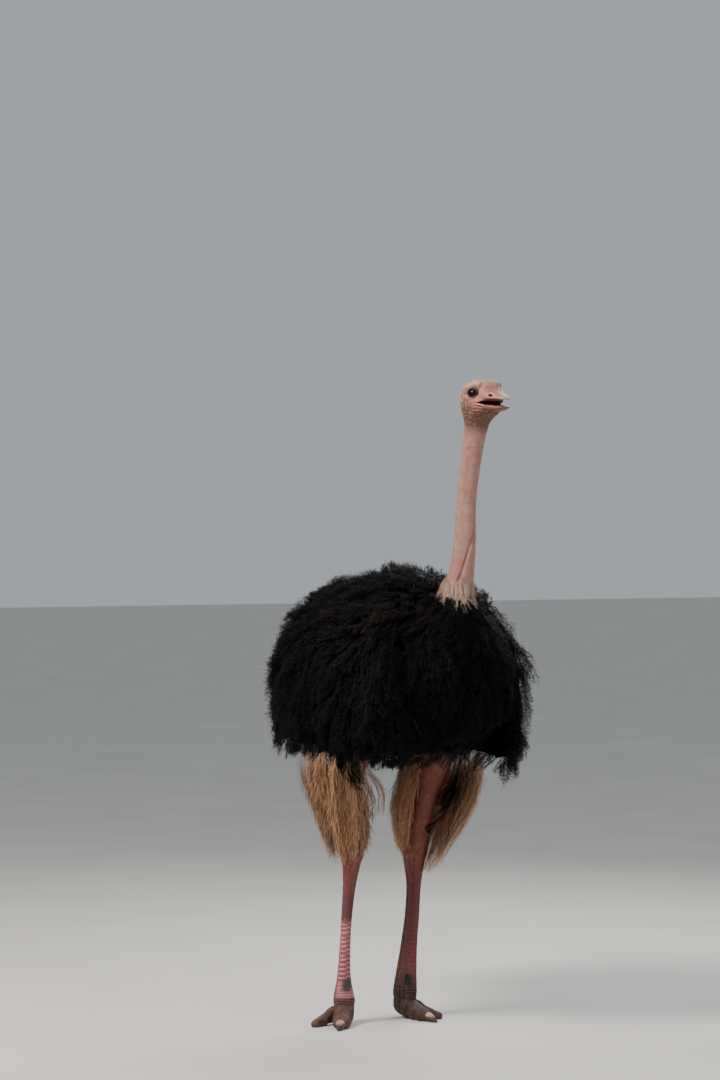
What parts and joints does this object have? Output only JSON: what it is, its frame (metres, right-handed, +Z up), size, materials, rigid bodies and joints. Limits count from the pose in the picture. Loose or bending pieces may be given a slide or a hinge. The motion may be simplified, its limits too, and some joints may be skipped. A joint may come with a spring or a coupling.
{
  "type": "ostrich figure",
  "caption": "Life-size still model of a standing male ostrich with a long bare neck, a parted bill, black body plumage, pale wing plumes and two-toed feet.",
  "frame": {"origin": "middle of the whole bird's box in plan, at the level of the soles", "axes": "+Z up, the bird faces -Y, its left side is +X"},
  "size_m": [0.7834, 1.2604, 2.2798],
  "materials": {
    "black_plumage": "soft loose black plumes",
    "pale_plumage": "long pale buff plumes",
    "neck_skin": "bare pinkish skin with fine down",
    "leg_skin": "bare reddish skin",
    "foot_scales": "horny scales with cross bands",
    "bill_horn": "satin horn",
    "claw_horn": "worn dark horn",
    "eye": "wet dark brown eye"
  },
  "bodies": {
    "root": {"neck_lower": "neck_skin", "neck_middle": "neck_skin", "neck_upper": "neck_skin", "head": "neck_skin", "bill_upper": "bill_horn", "bill_lower": "bill_horn", "eye_R": "eye", "eye_L": "eye", "trunk": "black_plumage", "wing_R": "black_plumage", "wing_L": "black_plumage", "tail": "pale_plumage", "wing_plumes_R": "pale_plumage", "wing_plumes_L": "pale_plumage", "thigh_R": "leg_skin", "shank_R": "foot_scales", "toe_inner_R": "foot_scales", "toe_outer_R": "foot_scales", "claw_R": "claw_horn", "thigh_L": "leg_skin", "shank_L": "foot_scales", "toe_inner_L": "foot_scales", "toe_outer_L": "foot_scales", "claw_L": "claw_horn"}
  },
  "joints": []
}
